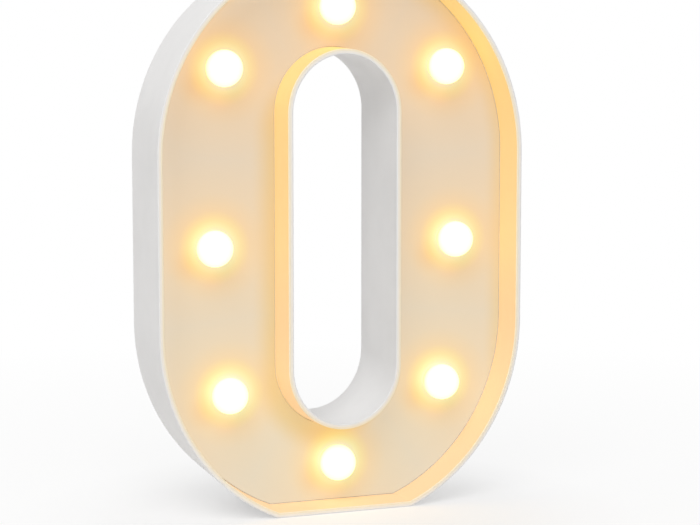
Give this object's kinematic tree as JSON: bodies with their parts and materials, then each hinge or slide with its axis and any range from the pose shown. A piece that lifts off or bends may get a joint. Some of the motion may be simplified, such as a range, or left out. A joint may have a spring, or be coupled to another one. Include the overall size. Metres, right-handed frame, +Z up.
{
  "type": "marquee number light",
  "caption": "Hollow white numeral nought that stands on a flat foot, with frosted globe lamps on a sunk lit face, and a hinged battery door and slide switch behind.",
  "frame": {"origin": "middle of the flat foot, on the surface it stands on", "axes": "+X to the right seen from the front, -Y out of the lit face, +Z up"},
  "size_m": [0.1536, 0.044, 0.225],
  "materials": {
    "white_shell": "satin white moulded plastic",
    "face_plate": "satin white moulded plastic, lit warm",
    "globe": "frosted",
    "diode": "clear tinted resin",
    "screw": "zinc plated",
    "contact": "nickel plated",
    "cell": "plain printed jacket",
    "switch_steel": "pressed sheet",
    "switch_board": "laminate",
    "knob": "black",
    "red_wire": "insulated",
    "black_wire": "insulated"
  },
  "bodies": {
    "root": {"casing": "white_shell", "face_plate": "face_plate", "globe_lower_left": "globe", "globe_bottom": "globe", "globe_lower_right": "globe", "globe_middle_right": "globe", "globe_upper_right": "globe", "globe_top": "globe", "globe_upper_left": "globe", "globe_middle_left": "globe", "diode_lower_left": "diode", "diode_bottom": "diode", "diode_lower_right": "diode", "diode_middle_right": "diode", "diode_upper_right": "diode", "diode_top": "diode", "diode_upper_left": "diode", "diode_middle_left": "diode", "screw_1": "screw", "screw_2": "screw", "screw_3": "screw", "screw_4": "screw", "screw_5": "screw", "screw_6": "screw", "screw_7": "screw", "screw_8": "screw", "cell_left": "cell", "cell_right": "cell", "contact_negative": "contact", "contact_positive": "contact", "contact_bridge": "contact", "spring_negative": "contact", "spring_bridge": "contact", "switch_shell": "switch_steel", "switch_board": "switch_board", "wire_cells_to_switch": "red_wire", "wire_positive": "red_wire", "wire_negative": "black_wire"},
    "door": {"battery_door": "white_shell"},
    "knob": {"switch_knob": "knob"}
  },
  "joints": [
    {"name": "door_swing", "type": "hinge", "parent": "root", "child": "door", "pos_m": [-0.04937, 0.0211, 0.1379], "axis": [1, 0, 0], "range_deg": [0, 75]},
    {"name": "knob_slide", "type": "slide", "parent": "root", "child": "knob", "axis": [-1, 0, 0], "range_m": [0, 0.0025]}
  ]
}
